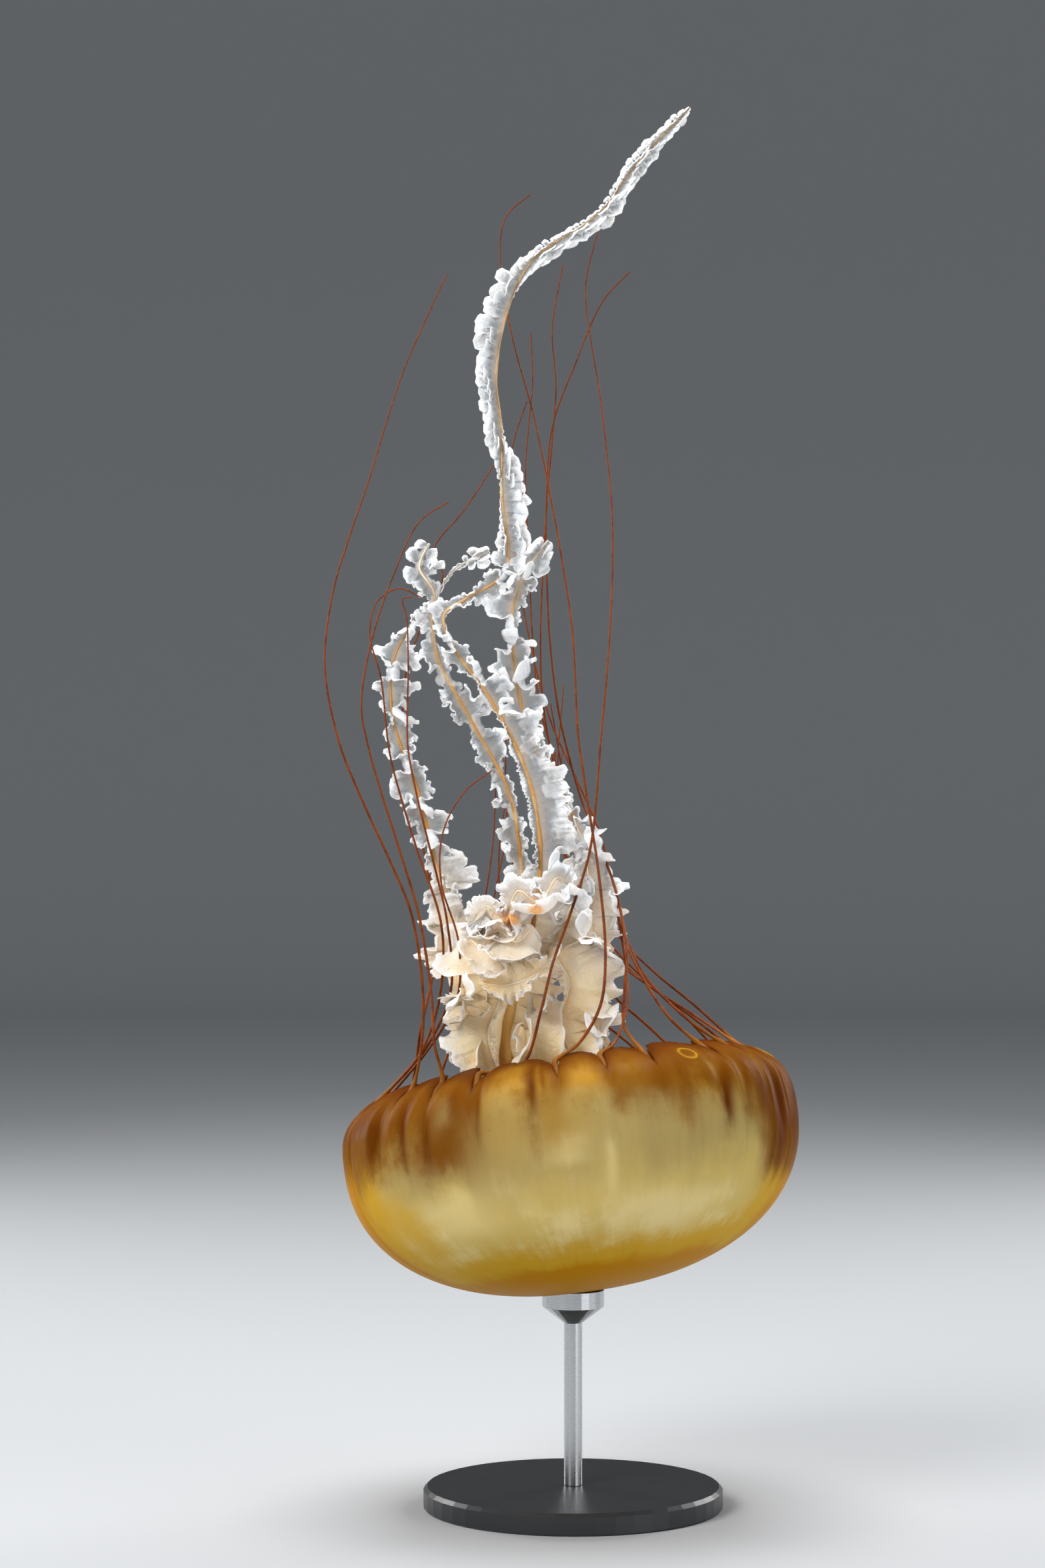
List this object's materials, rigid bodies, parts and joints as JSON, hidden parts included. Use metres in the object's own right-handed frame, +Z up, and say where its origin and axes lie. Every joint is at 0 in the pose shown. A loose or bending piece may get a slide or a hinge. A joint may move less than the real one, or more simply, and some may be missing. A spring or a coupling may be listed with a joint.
{
  "type": "jellyfish",
  "caption": "Life-size sea nettle jellyfish swimming mouth up, with a lobed bell, frilled oral arms and long thin tentacles trailing above it, held on a round display stand.",
  "frame": {"origin": "centre of the underside of the stand's round base", "axes": "+Z up, along the trailing arms and tentacles; -Y towards the viewer at the front; +X to the viewer's right"},
  "size_m": [0.2574, 0.2477, 0.7664],
  "materials": {
    "bell_flesh": "wet translucent jelly, golden brown with a milky band and a red-brown margin",
    "mouth_flesh": "wet translucent cream jelly",
    "arm_flesh": "wet white frills with golden ribs",
    "tentacle_flesh": "wet red-brown with fine stinging bumps",
    "stand_paint": "satin black paint",
    "stand_steel": "fine brushed steel"
  },
  "bodies": {
    "root": {"bell": "bell_flesh", "manubrium": "mouth_flesh", "oral_arm_long_1": "arm_flesh", "oral_arm_long_2": "arm_flesh", "oral_arm_long_3": "arm_flesh", "oral_arm_long_4": "arm_flesh", "oral_arm_long_5": "arm_flesh", "oral_arm_right_1": "arm_flesh", "oral_arm_right_2": "arm_flesh", "oral_arm_right_3": "arm_flesh", "oral_arm_middle_1": "arm_flesh", "oral_arm_middle_2": "arm_flesh", "oral_arm_middle_3": "arm_flesh", "oral_arm_left_1": "arm_flesh", "oral_arm_left_2": "arm_flesh", "oral_arm_left_3": "arm_flesh", "tentacle_24_1": "tentacle_flesh", "tentacle_24_2": "tentacle_flesh", "tentacle_01_1": "tentacle_flesh", "tentacle_01_2": "tentacle_flesh", "tentacle_02_1": "tentacle_flesh", "tentacle_02_2": "tentacle_flesh", "tentacle_03_1": "tentacle_flesh", "tentacle_03_2": "tentacle_flesh", "tentacle_04_1": "tentacle_flesh", "tentacle_04_2": "tentacle_flesh", "tentacle_05_1": "tentacle_flesh", "tentacle_05_2": "tentacle_flesh", "tentacle_23_1": "tentacle_flesh", "tentacle_23_2": "tentacle_flesh", "tentacle_22_1": "tentacle_flesh", "tentacle_22_2": "tentacle_flesh", "tentacle_21_1": "tentacle_flesh", "tentacle_21_2": "tentacle_flesh", "tentacle_20_1": "tentacle_flesh", "tentacle_20_2": "tentacle_flesh", "tentacle_19_1": "tentacle_flesh", "tentacle_18_1": "tentacle_flesh", "tentacle_18_2": "tentacle_flesh", "tentacle_06_1": "tentacle_flesh", "tentacle_07_1": "tentacle_flesh", "tentacle_08_1": "tentacle_flesh", "tentacle_09_1": "tentacle_flesh", "tentacle_10_1": "tentacle_flesh", "tentacle_11_1": "tentacle_flesh", "tentacle_12_1": "tentacle_flesh", "tentacle_13_1": "tentacle_flesh", "tentacle_14_1": "tentacle_flesh", "tentacle_15_1": "tentacle_flesh", "tentacle_16_1": "tentacle_flesh", "tentacle_17_1": "tentacle_flesh", "stand_base": "stand_paint", "stand_rod": "stand_steel"}
  },
  "joints": []
}
